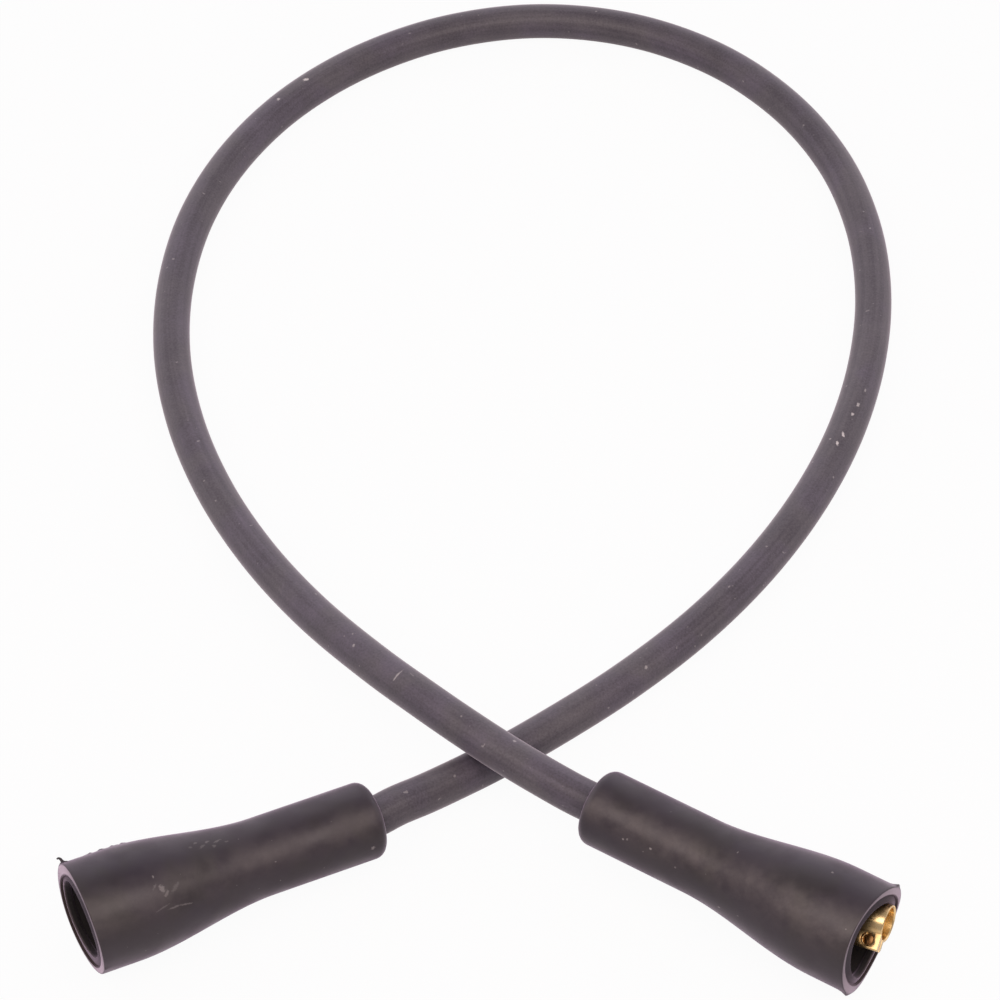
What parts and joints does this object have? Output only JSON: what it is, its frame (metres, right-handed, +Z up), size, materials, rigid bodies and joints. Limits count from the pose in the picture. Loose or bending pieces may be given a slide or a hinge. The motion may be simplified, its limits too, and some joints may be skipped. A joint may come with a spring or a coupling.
{
  "type": "ignition coil wire",
  "caption": "High tension ignition lead lying in a crossed loop, with a flared rubber boot and a split brass clamping socket at each end.",
  "frame": {"origin": "on the ground, under the middle of the box round the two boots and their terminals", "axes": "+X from the cap boot towards the coil boot, +Y towards the loop of the lead, +Z up"},
  "size_m": [0.1499, 0.2563, 0.02],
  "materials": {
    "lead_rubber": "matt black rubber with a faint bloom",
    "boot_rubber": "satin moulded black rubber",
    "terminal_brass": "plain machined brass",
    "screw_brass": "bright turned brass",
    "conductor": "bare stranded wire"
  },
  "bodies": {
    "root": {"lead_cable": "lead_rubber", "cap_boot": "boot_rubber", "coil_boot": "boot_rubber", "cap_terminal": "terminal_brass", "coil_terminal": "terminal_brass", "cap_clamp_screw": "screw_brass", "coil_clamp_screw": "screw_brass", "cap_conductor_end": "conductor", "coil_conductor_end": "conductor"}
  },
  "joints": []
}
